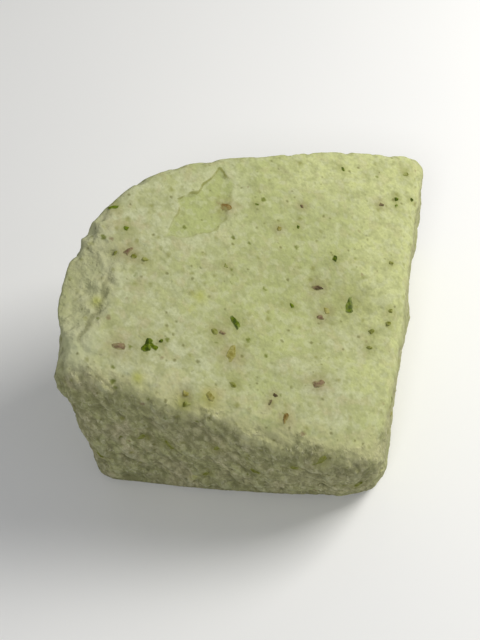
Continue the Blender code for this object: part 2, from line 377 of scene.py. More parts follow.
# %% The grid and its block
GRID = 0.235
SIZES = (38.7, 37.4, 24.2)
CORNERS = (
    (-17.0, -14.5, 0.0),
    (13.5, -15.0, 0.0),
    (-12.0, 8.5, 0.0),
    (18.5, 17.5, 0.0),
    (-18.5, -14.5, 21.5),
    (13.0, -17.5, 11.5),
    (-13.2, 8.0, 24.5),
    (18.5, 18.0, 15.8),
)
BACK_BULGE = 2.6
LEFT_BULGE = 1.6


def grid_cube(mesh):
    """A cube of side 2 round the origin, with grid squares of the given size each way."""
    bm = bmesh.new()
    bmesh.ops.create_cube(bm, size=2.0)
    for axis, length in enumerate(SIZES):
        along = [e for e in bm.edges if abs(e.verts[0].co[axis] - e.verts[1].co[axis]) > 1]
        bmesh.ops.subdivide_edges(bm, edges=along, cuts=round(length / GRID) - 1, use_grid_fill=True)
    bm.to_mesh(mesh)
    bm.free()


def cube_to_block(points):
    """Stretch the cube between the chunk's corners, with the bulge of its back and left sides."""
    u, v, w = (points.T + 1) / 2
    block = np.zeros_like(points)
    for number, corner in enumerate(CORNERS):
        share = u if number & 1 else 1 - u
        share = share * (v if number & 2 else 1 - v)
        share = share * (w if number & 4 else 1 - w)
        block += share[:, None] * np.array(corner)
    block[:, 1] += BACK_BULGE * 4 * u * (1 - u) * v
    block[:, 0] -= LEFT_BULGE * 4 * v * (1 - v) * (1 - u)
    return block


print("squares along the sides:", [round(length / GRID) for length in SIZES])

# %% The skin drawn onto the form
def mesh_points(mesh):
    points = np.empty(len(mesh.vertices) * 3, dtype=np.float32)
    mesh.vertices.foreach_get("co", points)
    return points.reshape(-1, 3).astype(float)


def set_mesh_points(mesh, points):
    mesh.vertices.foreach_set("co", points.astype(np.float32).ravel())
    mesh.update()


def flatten_base(mesh):
    """Cut the mesh off level at the base and close it with a flat face."""
    bm = bmesh.new()
    bm.from_mesh(mesh)
    everything = bm.verts[:] + bm.edges[:] + bm.faces[:]
    level = Vector((0, 0, BASE_CUT))
    cut = bmesh.ops.bisect_plane(bm, geom=everything, plane_co=level, plane_no=(0, 0, 1), clear_inner=True)
    rim = [item for item in cut["geom_cut"] if isinstance(item, bmesh.types.BMEdge)]
    bmesh.ops.contextual_create(bm, geom=rim)
    bmesh.ops.recalc_face_normals(bm, faces=bm.faces)
    bm.to_mesh(mesh)
    bm.free()


skin = bpy.data.meshes.new("chunk")
grid_cube(skin)
set_mesh_points(skin, draw_to_form(cube_to_block(mesh_points(skin))))
flatten_base(skin)
smooth = mesh_points(skin)
outward = form_normal(smooth)
print("skin:", len(skin.vertices), "points,", len(skin.polygons), "faces")

# %% [markdown]
# ## Where the chunk is broken, and where it is only cut
# The top was the skin of the slab and is nearly smooth. The front wall and the scoop broke, so they are
# rough all over. The other walls are between the two. Each of these places is a mask, one number from 0 to 1
# at every point of the skin, and the same masks later steer the colours.

# %% Masks of the faces
TOP_FADE = (-1.6, -0.4)
SCOOP_FADE = (-0.5, -0.1)
FRONT_FADE = (-3.0, -0.4)
BASE_CALM = 2.5

x, y, z = smooth.T
past_top = top_value(smooth)
past_ring = ring_value(smooth)
past_front = front_value(smooth)
into_scoop = scoop_value(smooth)
on_top = smooth_step(past_top, *TOP_FADE)
walls = 1 - on_top
scooped = smooth_step(into_scoop, *SCOOP_FADE)
front = smooth_step(past_front, *FRONT_FADE) * walls
calm = smooth_step(z, 0.0, BASE_CALM)
shares = [round(part.mean(), 2) for part in (on_top, front, scooped)]
print("share that is top, front wall and scoop:", *shares)

# %% [markdown]
# ## Relief
# Lumps and crumbs come from fractal noise, moved along the surface's own direction. The solid has the swells
# and the larger crumbs, which are drawn out along slanting streaks, so those two are repeated here. The finer
# ones are only here. The walls broke in steep streaks, so their noise is stretched along those, most of all
# on the front wall. The scoop broke in round grains.

# %% The solid's own relief
SWELL_SIZE = 10.0
SWELL_HEIGHT = 0.5
CRUMB_SIZE = 2.8
CRUMB_HEIGHT = 0.5
STREAK_SLANT = math.radians(58)
STREAK_STRETCH = 2.4
WALL_SHARE = 0.5
SCOOP_SHARE = 0.4
TOP_SHARE = 0.2
OCTAVE_RATIO = 2.1


def noise_at(points, size, octaves, offset, smoothness=1.0):
    """Soft lumps of about the size, between -1 and 1. A lower smoothness keeps more of the fine ones."""
    shift = Vector((offset, -offset, offset / 2))
    spots = [Vector(spot) + shift for spot in (points / size).tolist()]
    return np.array([noise.fractal(spot, smoothness, OCTAVE_RATIO, octaves) for spot in spots])


def streak_places(points, slant, stretch):
    """The points squeezed along the slanting streaks, so that noise there is drawn out along them."""
    px, py, pz = points.T
    along = px * math.cos(slant) - pz * math.sin(slant)
    across = px * math.sin(slant) + pz * math.cos(slant)
    return np.column_stack((along / stretch, py, across))


share = span(WALL_SHARE, TOP_SHARE, on_top)
share = span(share, 1.0, front)
share = span(share, SCOOP_SHARE, scooped)
slanting = streak_places(smooth, STREAK_SLANT, STREAK_STRETCH)
coarse = noise_at(slanting, CRUMB_SIZE, octaves=3, offset=7.3) * CRUMB_HEIGHT * share
coarse += noise_at(smooth, SWELL_SIZE, octaves=2, offset=2.9) * SWELL_HEIGHT * (1 - on_top / 2)
print("coarse relief from", round(coarse.min(), 2), "to", round(coarse.max(), 2), "mm")

# %% Streaks, grains and grit
STREAK_SIZE = 0.9
STREAK_HEIGHT = 0.2
OTHER_WALLS = 0.35
FINE_SLANT = math.radians(78)
FINE_STRETCH = 2.1
GRAIN_SIZE = 1.0
GRAIN_HEIGHT = 0.16
GRIT_SIZE = 0.75
GRIT_HEIGHT = 0.04
BROKEN_GRIT_HEIGHT = 0.09

steep = streak_places(smooth, FINE_SLANT, FINE_STRETCH)
streaks = noise_at(steep, STREAK_SIZE, octaves=3, offset=11.7, smoothness=0.8)
grains = noise_at(smooth, GRAIN_SIZE, octaves=3, offset=4.1, smoothness=0.55)
grit = noise_at(smooth, GRIT_SIZE, octaves=2, offset=19.3)
fine = streaks * STREAK_HEIGHT * walls * span(OTHER_WALLS, 1.0, front) * (1 - scooped)
fine += grains * GRAIN_HEIGHT * scooped
fine += grit * span(GRIT_HEIGHT, BROKEN_GRIT_HEIGHT, np.maximum(walls, scooped))
print("fine relief from", round(fine.min(), 2), "to", round(fine.max(), 2), "mm")

# %% [markdown]
# ## Crumbled rims
# A dry foam doesn't keep a sharp edge: small crumbs fall out of it. Along the edges between the top and the
# walls, and round the scoop, noise above a threshold bites small scallops out of the rim. The edge over the
# front wall is rounded by itself, so it gets few of them. Where the scoop meets the top, the slab's skin ends
# in a thin ridge with a fine groove under it. Noise moves the groove up and down, or it would look ruled.

# %% Bites out of the rims
RIM_BAND = (-1.3, -0.1)
RIM_BITE_SIZE = 1.7
RIM_BITE_DEPTH = 0.26
RIM_BITE_STARTS = (-0.05, 0.5)
FRONT_BITES = 0.1
FRONT_REACH = (-5.0, -1.5)

near_ring = smooth_step(past_ring, *RIM_BAND)
near_top = smooth_step(past_top, *RIM_BAND)
near_scoop = smooth_step(into_scoop, *RIM_BAND)
top_rim = near_ring * near_top * span(1.0, FRONT_BITES, smooth_step(past_front, *FRONT_REACH))
rim = np.maximum(top_rim, near_scoop * np.maximum(near_ring, near_top))
bites = noise_at(smooth, RIM_BITE_SIZE, octaves=2, offset=31.5)
fine -= smooth_step(bites, *RIM_BITE_STARTS) * rim * RIM_BITE_DEPTH
print("share of the skin at a rim:", round(rim.mean(), 3))

# %% The groove under the ridge
RIDGE_SHOWS = (2.5, 4.5)
GROOVE_AT = 0.17
GROOVE_WIDTH = 0.09
GROOVE_DEPTH = 0.1
GROOVE_WAVES = 0.12
GROOVE_WAVE_SIZE = 1.3


def soft_spot(distance, reach):
    """1 in the middle of a spot or a line, fading away over its reach."""
    return np.exp(-((distance / reach) ** 2))


waves = noise_at(smooth, GROOVE_WAVE_SIZE, octaves=2, offset=3.3)
under_top = GROOVE_WAVES * waves - past_top
ridge = smooth_step(-y, *RIDGE_SHOWS) * (1 - near_ring)
fine -= GROOVE_DEPTH * ridge * scooped * soft_spot(under_top - GROOVE_AT, GROOVE_WIDTH)
print("fine relief now from", round(fine.min(), 2), "to", round(fine.max(), 2), "mm")

# %% [markdown]
# ## The lost flake
# A thin flake of the slab's skin has come off near the back. Its bed is deepest at the upper left, where the
# flake was thickest, and runs out at the right. Its rim is crisp and shows most at the back. The outline is a
# few points seen from above, and noise added to the distance from it makes the rim ragged.

# %% The bed of the flake
FLAKE_OUTLINE = (
    (-9.6, 1.7),
    (-8.3, 4.5),
    (-8.2, 6.7),
    (-6.4, 7.8),
    (-5.1, 9.9),
    (-3.7, 11.4),
    (-2.3, 10.4),
    (-2.9, 5.8),
    (-3.7, 4.0),
    (-6.1, 2.7),
)
FLAKE_DEPTH = 0.256
FLAKE_FADE = 0.75
FLAKE_FADE_START = (-8.0, 7.0)
FLAKE_FADE_LENGTH = 9.0
FLAKE_RIM = 0.4
FLAKE_RAGGED = 0.4
FLAKE_RAG_SIZE = 1.6
FLAKE_THIN_FROM = (-3.5, -2.3)
FLAKE_THINNER = 0.7
RIM_SHOWS = (2.0, 8.0)
RIM_AT_FRONT = 0.4
RIM_THINNER = 0.9


def outline_distance(px, py, outline):
    """Distance to a closed outline in the plane, above zero inside it."""
    inside = np.zeros(len(px), dtype=bool)
    distance = np.full(len(px), np.inf)
    for (ax, ay), (bx, by) in zip(outline, outline[1:] + outline[:1]):
        dx = bx - ax
        dy = by - ay
        t = np.clip(((px - ax) * dx + (py - ay) * dy) / (dx * dx + dy * dy), 0.0, 1.0)
        distance = np.minimum(distance, np.hypot(px - ax - t * dx, py - ay - t * dy))
        crosses = ((ay > py) != (by > py)) & (px < ax + (py - ay) * dx / (dy if dy else 1e-9))
        inside ^= crosses
    return np.where(inside, distance, -distance)


ragged = noise_at(smooth, FLAKE_RAG_SIZE, octaves=3, offset=5.7) * FLAKE_RAGGED
into_bed = outline_distance(x, y, FLAKE_OUTLINE) + ragged
bed = smooth_step(into_bed, 0.0, FLAKE_RIM) * on_top
to_lower_right = (x - FLAKE_FADE_START[0] - y + FLAKE_FADE_START[1]) / math.sqrt(2)
fade = np.clip(to_lower_right / FLAKE_FADE_LENGTH, 0.0, 1.0)
at_right = smooth_step(x, *FLAKE_THIN_FROM)
fine -= bed * FLAKE_DEPTH * (1 - FLAKE_FADE * fade) * (1 - FLAKE_THINNER * at_right)
bed_rim = on_top * span(RIM_AT_FRONT, 1.0, smooth_step(y, *RIM_SHOWS)) * (1 - RIM_THINNER * at_right)
print("bed of the flake covers", int((bed > 0.5).sum() * GRID**2), "square mm")

# %% [markdown]
# ## Nut bits: where they lie
# Chopped pistachio is mixed through the ice cream: dark green kernel, olive crumbs of it, thin purple-brown
# skin that is bare or dusted with powder, russet skin, and a few amber crumbs. They could be painted on, but
# bits this size catch the light, so each is a real piece that lies nearly flush. The solid has most of the
# larger ones as low bumps, and the small ones are only here. The places are seen from above, or from the
# front for the front wall. A ray from the heart through a place finds the surface there.

# %% Places, sizes and kinds of the bits
Bit = namedtuple("Bit", "place length width turn kind")
TOP_BITS = (
    Bit((-10.75, -10.35), 1.05, 0.85, 25, "kernel"),
    Bit((-10.15, -10.05), 1.15, 0.65, -20, "kernel"),
    Bit((-10.5, -9.75), 1.0, 0.7, 70, "kernel"),
    Bit((-9.3, -9.4), 0.5, 0.45, 0, "kernel"),
    Bit((-2.2, -5.9), 1.8, 0.7, -55, "kernel"),
    Bit((9.85, -0.8), 2.9, 1.1, 72, "kernel"),
    Bit((-2.6, -9.5), 2.1, 0.9, 70, "amber"),
    Bit((6.3, 0.1), 1.5, 0.65, 2, "skin"),
    Bit((-3.3, 6.9), 1.4, 0.8, -15, "russet"),
    Bit((-13.2, -10.7), 1.5, 0.8, 5, "dusty"),
    Bit((-12.7, -0.5), 1.15, 0.8, 40, "dusty"),
    Bit((3.6, -2.4), 0.65, 0.6, 0, "kernel"),
    Bit((8.2, 3.5), 0.8, 0.6, 90, "kernel"),
    Bit((6.0, -11.0), 1.5, 0.8, 20, "dusty"),
    Bit((2.7, -15.2), 1.1, 0.6, 85, "russet"),
    Bit((-4.3, -7.4), 0.9, 0.7, 10, "olive"),
    Bit((16.6, 16.0), 0.9, 0.7, 30, "olive"),
    Bit((-7.2, -14.6), 0.7, 0.6, 0, "amber"),
)
FRONT_BITS = (
    Bit((5.8, 11.6), 1.3, 0.8, 30, "olive"),
    Bit((-4.2, 11.3), 1.2, 0.7, 70, "olive"),
    Bit((-13.2, 11.7), 0.9, 0.6, 10, "olive"),
)
SMALL_BITS = (
    Bit((-13.1, 2.0), 0.6, 0.55, 0, "kernel"),
    Bit((-14.4, 4.2), 1.2, 0.5, 20, "kernel"),
    Bit((4.4, 6.3), 0.5, 0.5, 0, "kernel"),
    Bit((2.3, 5.6), 0.6, 0.5, 90, "amber"),
    Bit((0.0, 7.9), 0.5, 0.4, 0, "kernel"),
    Bit((4.9, 8.9), 0.7, 0.5, 10, "skin"),
    Bit((13.6, 11.3), 0.7, 0.5, 0, "skin"),
    Bit((15.4, 12.4), 0.55, 0.5, 0, "kernel"),
    Bit((15.4, 11.6), 0.5, 0.45, 0, "kernel"),
    Bit((17.4, 13.1), 0.5, 0.45, 0, "kernel"),
    Bit((9.4, 14.6), 0.55, 0.5, 0, "kernel"),
    Bit((-2.4, -12.5), 0.8, 0.75, 0, "olive"),
    Bit((-7.5, -16.2), 0.9, 0.6, 20, "olive"),
    Bit((-4.6, -14.3), 1.1, 0.7, -25, "amber"),
    Bit((1.7, -12.9), 0.5, 0.4, 0, "skin"),
    Bit((1.2, -13.7), 0.7, 0.5, 40, "skin"),
    Bit((7.2, -2.2), 0.9, 0.6, 110, "amber"),
    Bit((6.5, -3.1), 0.9, 0.6, 20, "dusty"),
    Bit((-3.5, -7.4), 0.8, 0.6, 30, "dusty"),
    Bit((-11.1, -1.0), 0.9, 0.6, 15, "olive"),
    Bit((-12.2, -0.9), 0.65, 0.5, 0, "olive"),
    Bit((-14.1, -0.9), 0.6, 0.5, 40, "olive"),
    Bit((-3.2, 0.0), 0.55, 0.5, 90, "olive"),
    Bit((13.9, -1.3), 0.6, 0.5, 70, "olive"),
    Bit((13.6, -2.8), 0.6, 0.5, 60, "olive"),
    Bit((11.8, -3.9), 0.7, 0.5, 30, "olive"),
    Bit((14.3, 4.3), 0.5, 0.45, 0, "olive"),
    Bit((11.5, -5.7), 0.6, 0.5, 0, "olive"),
)
print("bits on the top, on the front wall, small:", len(TOP_BITS), len(FRONT_BITS), len(SMALL_BITS))

# %% Bits on the other walls, and all of them
WALL_BITS = 20
GOLDEN = 0.618034
WALL_BIT_START = 0.3
WALL_BIT_LOWEST = 2.6
WALL_BIT_BAND = 8.5
WALL_BIT_REACH = 17.0
WALL_BIT_LENGTH = (0.8, 1.4)
WALL_BIT_WIDTH = (0.5, 0.8)
BIT_SEED = 41
KINDS = ("kernel", "olive", "olive", "amber", "olive")

rng = random.Random(BIT_SEED)
bits = []
for bit in TOP_BITS + SMALL_BITS:
    across, along = bit.place
    bits.append(bit._replace(place=(across, along, top_height(across, along))))
for bit in FRONT_BITS:
    across, up = bit.place
    bits.append(bit._replace(place=(across, -WALL_BIT_REACH, up)))
for number in range(WALL_BITS):
    faces = math.tau * GOLDEN * number + WALL_BIT_START
    target = HEART + WALL_BIT_REACH * np.array((math.cos(faces), math.sin(faces), 0))
    target[2] = WALL_BIT_LOWEST + WALL_BIT_BAND * (number * GOLDEN * math.pi % 1)
    length = rng.uniform(*WALL_BIT_LENGTH)
    width = rng.uniform(*WALL_BIT_WIDTH)
    turn = rng.uniform(0, 180)
    bits.append(Bit(tuple(target), length, width, turn, KINDS[number % len(KINDS)]))
print(len(bits), "bits")

# %% [markdown]
# ## The finished skin
# Now the relief is added along the outward directions. It dies away at the base, so that the chunk still
# stands flat, and it is calmer at the thin edge between the scoop and the walls. How far each point stands
# above or below its neighbours is kept as well. It steers painted shade, a dark olive, into the pits, and
# painted light, a powdery pale, onto the crests.

# %% Move the points and measure the pits
THIN_EDGE = (-0.8, -0.1)
THIN_CALM = 0.8
BASE_FINE_CALM = 1.6
PIT_REACH = 40

thin = smooth_step(past_ring, *THIN_EDGE) * smooth_step(into_scoop, *THIN_EDGE)
fine_calm = smooth_step(z, BASE_CUT, BASE_FINE_CALM)
lift = (coarse * calm + fine * fine_calm) * (1 - THIN_CALM * thin)
shape = smooth + outward * lift[:, None]
chunk = bpy.data.objects.new("chunk", skin)
bpy.context.scene.collection.objects.link(chunk)

edges = np.empty(len(skin.edges) * 2, dtype=np.int32)
skin.edges.foreach_get("vertices", edges)
edges = edges.reshape(-1, 2)
corners = np.bincount(edges.ravel(), minlength=len(shape))


def spread(values, rounds):
    """Values evened out with those of the neighbours, a number of times."""
    for _ in range(rounds):
        total = np.bincount(edges[:, 0], values[edges[:, 1]], len(values))
        total += np.bincount(edges[:, 1], values[edges[:, 0]], len(values))
        values = (values + total / corners) / 2
    return values


# How far each point lies below its neighbours: the chalk paints shade into the pits and light onto the crests
# from it.
pit = spread(spread(lift, PIT_REACH) - lift, 1)
print("deepest pit", round(pit.max(), 2), "mm, highest crest", round(-pit.min(), 2), "mm")

to_metres = Matrix.Scale(MM, 4) @ Matrix.Translation((-MIDDLE[0], -MIDDLE[1], -BASE_CUT))
set_mesh_points(skin, shape)
skin.transform(to_metres)
skin.shade_smooth()

# %% [markdown]
# ## Powder and stains
# Powder from the breaking lies on the left of the top and along its front, and on the corner beside the
# scoop. Round the three nicks there the same pale colour is painted light, which lifts the shade in their
# small hollows. The top is paler below a faint crease, and paler at the right, on its outer part. Round each
# bit of nut the chalk has taken up some of its colour. All of it could be painted by hand, but numbers at the
# points of the skin follow the form by themselves, so it is worked out here as more masks.

# %% Powder on the top
Drift = namedtuple("Drift", "place reach strength")
DRIFTS = (
    Drift((7.1, -13.1), 2.8, 0.9),
    Drift((-9.0, -11.5), 4.5, 0.5),
    Drift((-3.0, -14.5), 3.0, 0.5),
    Drift((-13.5, 1.0), 4.0, 0.5),
    Drift((9.0, -5.5), 2.2, 0.5),
)
LEFT_POWDER = 0.55
LEFT_POWDER_FADE = (-2.0, 13.0)
CORNER = (-17.6, -11.2, 22.0)
CORNER_REACH = (1.2, 3.6)
DUSTED_LIT_NICKS = 3
NICK_DUST_AND_LIGHT = 0.8


def away_from(place):
    """How far the skin's points are from a place, or as seen from above if it has no height."""
    return np.linalg.norm(smooth[:, : len(place)] - place, axis=1)


bloom = LEFT_POWDER * smooth_step(-x, *LEFT_POWDER_FADE)
for drift in DRIFTS:
    bloom += drift.strength * soft_spot(away_from(drift.place), drift.reach)
bloom = np.clip(bloom, 0, 1) * on_top
corner = 1 - smooth_step(away_from(CORNER), *CORNER_REACH)
# The corner gets real powder; round the first nicks the same pale colour is painted light that lifts the
# shade on their hollow faces.
dust_and_nick_light = corner
for *centre, radius in NICKS[:DUSTED_LIT_NICKS]:
    dust_and_nick_light = np.maximum(dust_and_nick_light, 1 - smooth_step(away_from(centre), radius, radius + NICK_DUST_AND_LIGHT))
print("powder covers", int(bloom.sum() * GRID**2), "square mm")

# %% The paler right of the top, and the crease
PALER_RIGHT_TURN = 0.35
PALER_RIGHT_FROM = (2.0, 11.0)
PALER_RIGHT_BAND = (-8.5, -3.5)
CREASE_FROM = (1.0, -9.6)
CREASE_TO = (6.2, -7.2)
CREASE_STRENGTH = 0.7
CREASE_EDGE = (-0.15, 0.15)
CREASE_REACH = 1.5
CREASE_START = (-0.2, 0.2)
CREASE_END = (0.8, 1.3)


def band(value, start, end):
    """1 between a soft start and a soft end, and 0 outside them."""
    return smooth_step(value, *start) * smooth_step(-value, -end[1], -end[0])


# The top is paler at its right, on its outer part.
paler_right = smooth_step(x + PALER_RIGHT_TURN * y, *PALER_RIGHT_FROM) * smooth_step(past_ring, *PALER_RIGHT_BAND) * on_top
crease = Vector(CREASE_TO) - Vector(CREASE_FROM)
right = x - CREASE_FROM[0]
back = y - CREASE_FROM[1]
along = (right * crease.x + back * crease.y) / crease.length_squared
below = (right * crease.y - back * crease.x) / crease.length
# The top is paler below the crease, fading away from it.
paler_below_crease = smooth_step(below, *CREASE_EDGE) * np.exp(-np.maximum(below, 0) / CREASE_REACH)
paler_below_crease *= band(along, CREASE_START, CREASE_END) * on_top
bloom = np.clip(bloom + CREASE_STRENGTH * paler_below_crease, 0, 1)
print("rind covers", int(paler_right.sum() * GRID**2), "square mm")

# %% Stains round the bits
STAIN_LEAST = 0.2
STAIN_REACH = 0.45
GREEN_KINDS = ("kernel", "olive")
Smear = namedtuple("Smear", "place reach strength colour")
SMEARS = (
    Smear((-11.2, -0.9), 0.7, 0.9, "green"),
    Smear((-4.1, -7.3), 0.45, 1.0, "green"),
    Smear((-5.7, -3.9), 0.7, 0.8, "yellow"),
    Smear((-4.8, -14.2), 1.0, 0.7, "yellow"),
    Smear((-11.4, -13.4), 0.5, 1.0, "yellow"),
    Smear((-7.3, -15.2), 0.7, 0.9, "yellow"),
    Smear((-15.6, -6.2), 0.5, 1.0, "yellow"),
)

lying = draw_to_form(np.array([bit.place for bit in bits]))
facing = form_normal(lying)
stains = {colour: np.zeros(len(smooth)) for colour in ("green", "warm", "yellow")}
for point, bit in zip(lying, bits):
    colour = "green" if bit.kind in GREEN_KINDS else "warm"
    reach = STAIN_LEAST + STAIN_REACH * (bit.length + bit.width)
    stains[colour] = np.maximum(stains[colour], soft_spot(away_from(point), reach))
for smear in SMEARS:
    stain = smear.strength * soft_spot(away_from(smear.place), smear.reach) * np.maximum(on_top, scooped)
    stains[smear.colour] = np.maximum(stains[smear.colour], stain)
print("stained share:", {colour: round(stain.mean(), 3) for colour, stain in stains.items()})

# %% [markdown]
# ## Where the colours change, and where light and shade are painted
# A broken face doesn't change its colour at a ruled line. The front wall's beige comes in over a few
# millimetres below the rim, and noise makes that border wander. Light and shade are painted on as well:
# painted light on the brow along the wall's top and, more faintly, on the wall, a faint painted shade in a
# band under the brow, painted shadow along the foot, and a greyer painted shade in a dip near the middle of
# the top. The scoop is paler beside the ridge. Each of them is a soft step or two, and one more mask.

# %% Borders that wander
WANDER_SIZE = 1.8
BEIGE_AT_FRONT = (-4.0, -0.8)
BEIGE_DEPTH = (0.2, 2.8)
BAND_START = (0.8, 2.2)
BAND_END = (3.5, 7.0)
BAND_SHARE = 0.3
WALL_FOOT = (-2.2, -0.2)
BROW_START = (-0.4, 0.6)
BROW_END = (1.0, 4.2)
BROW_AT_FRONT = (-4.5, -1.5)
BROW_AT_LEFT = 0.6
BROW_FULL = (-14.0, -8.0)
WALL_LIGHT_SHARE = (0.25, 0.55)
WALL_LIGHTEST = (-14.0, -6.0)
SHADE_SPOT_PLACE = (1.8, 0.8)
SHADE_SPOT_RADII = (3.4, 2.8)
RIDGE_SIDE = (-1.6, -0.3)

wander = noise_at(smooth, WANDER_SIZE, octaves=3, offset=23.0, smoothness=0.6)


def wandering(value, by):
    """A value that noise moves up and down, so that a border drawn at one of its levels wanders."""
    return value + by * wander


beige = smooth_step(wandering(past_front, by=2.2), *BEIGE_AT_FRONT)
beige *= smooth_step(wandering(under_top, by=1.5), *BEIGE_DEPTH)
# Painted shade: a faint band under the brow, where the wall turns in below the rounded edge, and painted
# shadow along the foot, where the wall meets the floor.
band_painted_shade = band(wandering(under_top, by=1.0), BAND_START, BAND_END)
foot_painted_shadow = smooth_step(-wandering(z, by=0.5), *WALL_FOOT)
wall_painted_shade = front * np.maximum(BAND_SHARE * band_painted_shade, foot_painted_shadow)
# Painted light: the brow along the top of the front wall, where the rounded edge still catches light, and
# more faintly the wall below it, least at its far left.
brow_painted_light = band(wandering(under_top, by=1.2), BROW_START, BROW_END)
brow_painted_light *= smooth_step(past_front, *BROW_AT_FRONT) * span(BROW_AT_LEFT, 1.0, smooth_step(x, *BROW_FULL))
wall_painted_light = np.maximum(brow_painted_light, front * span(*WALL_LIGHT_SHARE, smooth_step(x, *WALL_LIGHTEST)))
# Painted shade: a greyer spot in a shallow dip near the middle of the top.
from_shade_spot = np.hypot((x - SHADE_SPOT_PLACE[0]) / SHADE_SPOT_RADII[0], (y - SHADE_SPOT_PLACE[1]) / SHADE_SPOT_RADII[1])
print("brow covers", int(brow_painted_light.sum() * GRID**2), "square mm")

# %% Write the masks on the skin
OTHER_WALLS_BROKEN = 0.4
SCOOP_BROKEN = 0.25
CORNER_WHOLE = 0.7
PIT_GAIN = 2.4

broken = np.maximum(beige * (1 - CORNER_WHOLE * corner), OTHER_WALLS_BROKEN * walls * (1 - scooped))
masks = {
    "broken": np.maximum(broken, SCOOP_BROKEN * scooped),
    "scooped": scooped,
    "on_top": on_top,
    "bed": bed,
    "bed_rim": bed_rim,
    "into_bed": np.clip(into_bed, -2, 2),
    "under_top": np.clip(under_top, -1, 2),
    "ridge": ridge * scooped,
    "beside_ridge": smooth_step(-under_top, *RIDGE_SIDE) * scooped,
    "wall_painted_shade": wall_painted_shade,
    "wall_painted_light": wall_painted_light,
    "dip": soft_spot(from_shade_spot, 1.0) * on_top,
    "bloom": bloom,
    "dust_and_nick_light": dust_and_nick_light,
    "paler_right": paler_right,
    "pit": np.clip(0.5 + pit * PIT_GAIN, 0, 1),
}
masks.update((colour + "_stain", stain) for colour, stain in stains.items())
for name, values in masks.items():
    skin.attributes.new(name, "FLOAT", "POINT").data.foreach_set("value", values.astype(np.float32))
print(len(masks), "masks on the skin")

# %% [markdown]
# ## Chalk
# Freeze-dried ice cream is matt right through. Its colour is a pale yellow-green that isn't even: whiter
# where powder lies, with many tiny specks of ground nut. Painted shade, a dark olive, lies in the pits, gaps
# and grooves, and painted light pales the crests and the tops of the grains. The specks are cells of a
# Voronoi texture: a few cells are chosen by their random colour, and only their middles are painted. The
# colour is laid on in layers, as a painter would: each says where, how strongly, and which colour.

# %% Colours of the chalk
PALE = (0.393, 0.423, 0.179, 1.0)
PALER_RIGHT = (0.505, 0.530, 0.240, 1.0)
POWDER = (0.505, 0.522, 0.330, 1.0)
DUST = (0.455, 0.440, 0.275, 1.0)
FRESH = (0.368, 0.410, 0.155, 1.0)
BEIGE = (0.440, 0.400, 0.225, 1.0)
CRUMB = (0.425, 0.392, 0.225, 1.0)
SCOOP = (0.380, 0.380, 0.212, 1.0)
# Painted light for the front wall's brow and face.
BROW_LIGHT = (0.540, 0.530, 0.270, 1.0)
WALL_GREEN = (0.390, 0.410, 0.175, 1.0)
WALL_BEIGE = (0.510, 0.445, 0.305, 1.0)
# Painted light for the tops of the grains.
GRAIN_TOP_LIGHT = (0.620, 0.595, 0.390, 1.0)
# Dark olive: mostly painted shade in pits, gaps, grooves and on the front wall; it also tints random crumbs.
SHADE_AND_PIT_GREEN = (0.165, 0.164, 0.072, 1.0)
# Grey for random mottle, and for the painted shade in the dip.
SHADE_GREY = (0.270, 0.285, 0.125, 1.0)
GREEN_SPECK = (0.115, 0.140, 0.006, 1.0)
OLIVE_SPECK = (0.205, 0.210, 0.045, 1.0)
DARK_SPECK = (0.130, 0.125, 0.030, 1.0)
BROWN_SPECK = (0.190, 0.120, 0.060, 1.0)
YELLOW_SPECK = (0.400, 0.420, 0.050, 1.0)
print("base colour of the chalk:", PALE[:3])

# %% Masks, specks, lines and layers
WOBBLE_SCALE = 2.2
WOBBLE_SHARE = 0.35
SMALLEST_SPECK = 0.4
SHARP = 0.002


def mask(place, name):
    """One of the masks on the points."""
    return place.node("Attribute", {"attribute_name": name}, None, "Fac")


def specks(place, spacing, size, chosen, seed, soft):
    """Spots about one spacing apart: the share chosen of them shows, with the size in millimetres."""
    wobble = place.node("TexNoise", None, {"Vector": place, "Scale": WOBBLE_SCALE}, "Color")
    reach = {0: wobble, "Scale": WOBBLE_SHARE * spacing}
    moved = place + wobble.node("VectorMath", {"operation": "SCALE"}, reach) + (seed, -seed, seed * 0.5)
    cells = place.node("TexVoronoi", None, {"Vector": moved, "Scale": 1 / spacing}, "Distance")
    draws = Sock(cells.socket.node.outputs["Color"])
    lot = draws.node("SeparateColor", None, {0: draws})
    size_here = size / spacing * span(SMALLEST_SPECK, 1.0, Sock(lot.socket.node.outputs[1]))
    picked = lot.between(1 - chosen - SHARP, 1 - chosen)
    return (size_here - cells).between(0.0, soft * size / spacing) * picked


def line_where(place, name, level, reach, soft):
    """1 along the line where a mask has a level, out to the reach, with a soft border."""
    return (reach - abs(mask(place, name) - level)).between(0.0, soft)


def paint(colour, layers):
    """Lay colours over a colour. Each layer says where, how strongly and which."""
    for where, strength, over in layers:
        colour = (where * strength).tint(colour, over)
    return colour


print("helpers for the layers ready")

# %% Patterns in the chalk
CHALK_ROUGHNESS = 0.93
GRAIN_SPACING = 0.44
SCOOP_PITS = 0.5

chalk, chalk_shader, here = new_finish("dry_ice_cream", CHALK_ROUGHNESS)
broken_here = mask(here, "broken")
scooped_here = mask(here, "scooped")
bloom_here = mask(here, "bloom")
pit_here = mask(here, "pit")
bed_here = mask(here, "bed")

